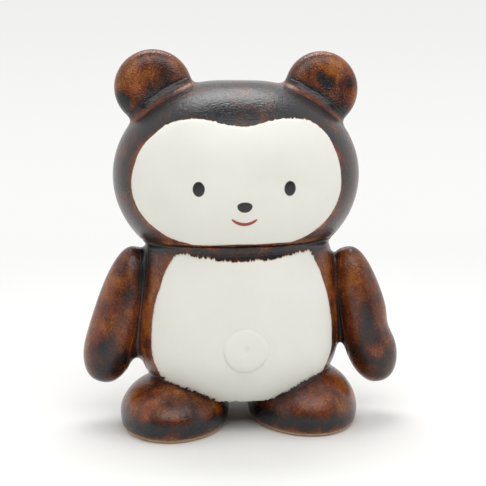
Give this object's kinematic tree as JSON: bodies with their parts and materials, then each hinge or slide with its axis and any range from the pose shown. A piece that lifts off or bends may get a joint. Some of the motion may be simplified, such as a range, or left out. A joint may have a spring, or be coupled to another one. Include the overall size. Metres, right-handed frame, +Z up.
{
  "type": "tanuki figurine",
  "caption": "Standing glazed stoneware tanuki ornament with round ears, hanging arms, low flat-soled legs and white face and belly; free-standing shelf decoration.",
  "frame": {"origin": "on the surface that the soles stand on, below the middle of the figure's box", "axes": "+Z up, the figure faces -Y, and +X is towards the figure's own left"},
  "size_m": [0.1028, 0.0644, 0.1197],
  "materials": {
    "brown_glaze": "iron-brown reduction glaze, mottled rust to near black, semi-gloss",
    "seam_glaze": "iron glaze pooled dark grey-brown over the luted seams, semi-gloss",
    "white_glaze": "warm white glaze, satin",
    "bare_clay": "unglazed tan stoneware, matt",
    "black_enamel": "black underglaze, satin",
    "red_enamel": "red-brown underglaze, satin"
  },
  "bodies": {
    "root": {"head_shell": "brown_glaze", "torso_shell": "brown_glaze", "left_ear": "brown_glaze", "right_ear": "brown_glaze", "left_arm": "brown_glaze", "right_arm": "brown_glaze", "left_leg": "brown_glaze", "right_leg": "brown_glaze", "tail": "brown_glaze", "neck_lute": "seam_glaze", "left_ear_lute": "seam_glaze", "right_ear_lute": "seam_glaze", "left_arm_lute": "seam_glaze", "right_arm_lute": "seam_glaze", "left_hip_lute": "seam_glaze", "right_hip_lute": "seam_glaze", "tail_lute": "seam_glaze", "face_panel": "white_glaze", "belly_panel": "white_glaze", "navel_boss": "white_glaze", "left_sole": "bare_clay", "right_sole": "bare_clay", "left_eye_mark": "black_enamel", "right_eye_mark": "black_enamel", "nose_mark": "black_enamel", "mouth_mark": "red_enamel"}
  },
  "joints": []
}
